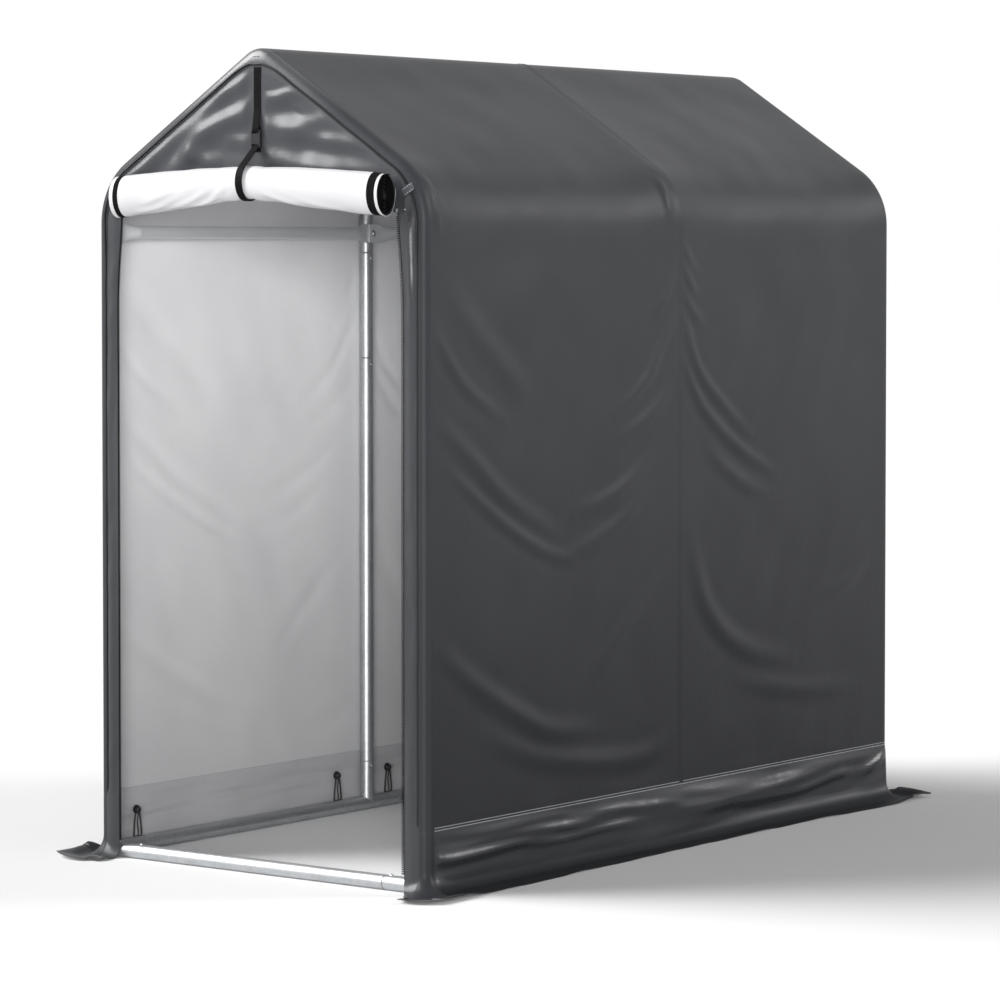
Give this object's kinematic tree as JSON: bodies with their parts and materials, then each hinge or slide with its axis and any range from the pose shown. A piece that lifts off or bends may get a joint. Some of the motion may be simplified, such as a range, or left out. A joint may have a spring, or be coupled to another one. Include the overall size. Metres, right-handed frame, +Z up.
{
  "type": "fabric bike shelter",
  "caption": "Tent-shaped bike shelter: three tube hoops on a ground frame under a sewn dark cover, with a rolled-up front door held by a buckled strap",
  "frame": {"origin": "on the ground, at the middle of the plan", "axes": "+Z up; the doorway faces -Y; +X is on the right of someone looking in at the doorway"},
  "size_m": [1.19, 2.1903, 1.9332],
  "materials": {
    "galvanised_tube": "zinc coated, satin",
    "cover_fabric": "dark grey coated woven fabric",
    "silver_lining": "pale silver coated inner face",
    "webbing": "black woven webbing",
    "zip_tape": "black zip tape and teeth",
    "elastic": "black braided elastic",
    "buckle_plastic": "moulded",
    "eyelet_plastic": "moulded"
  },
  "bodies": {
    "root": {"buckle_clip": "buckle_plastic", "buckle_socket": "buckle_plastic", "cover_front_bay": "cover_fabric", "cover_rear_bay": "cover_fabric", "door_roll": "silver_lining", "door_zips": "zip_tape", "front_apex_elbow": "galvanised_tube", "front_eave_elbows": "galvanised_tube", "front_eave_rails": "galvanised_tube", "front_gable_panel": "cover_fabric", "front_ground_bar": "galvanised_tube", "front_ground_rails": "galvanised_tube", "front_left_jamb": "cover_fabric", "front_lower_legs": "galvanised_tube", "front_piping": "cover_fabric", "front_rafters": "galvanised_tube", "front_ridge_rail": "galvanised_tube", "front_right_jamb": "cover_fabric", "front_upper_legs": "galvanised_tube", "ground_corner_fittings": "galvanised_tube", "ground_tees": "galvanised_tube", "keeper_tab": "webbing", "left_skirt": "cover_fabric", "middle_apex_elbow": "galvanised_tube", "middle_eave_elbows": "galvanised_tube", "middle_lower_legs": "galvanised_tube", "middle_rafters": "galvanised_tube", "middle_upper_legs": "galvanised_tube", "rear_apex_elbow": "galvanised_tube", "rear_eave_elbows": "galvanised_tube", "rear_eave_rails": "galvanised_tube", "rear_ground_bar": "galvanised_tube", "rear_ground_rails": "galvanised_tube", "rear_lower_legs": "galvanised_tube", "rear_panel": "cover_fabric", "rear_piping": "cover_fabric", "rear_rafters": "galvanised_tube", "rear_ridge_rail": "galvanised_tube", "rear_skirt": "cover_fabric", "rear_upper_legs": "galvanised_tube", "right_skirt": "cover_fabric", "roll_strap_loop": "webbing", "roll_strap_upper": "webbing", "skirt_elastics": "elastic", "skirt_eyelets": "eyelet_plastic"}
  },
  "joints": []
}
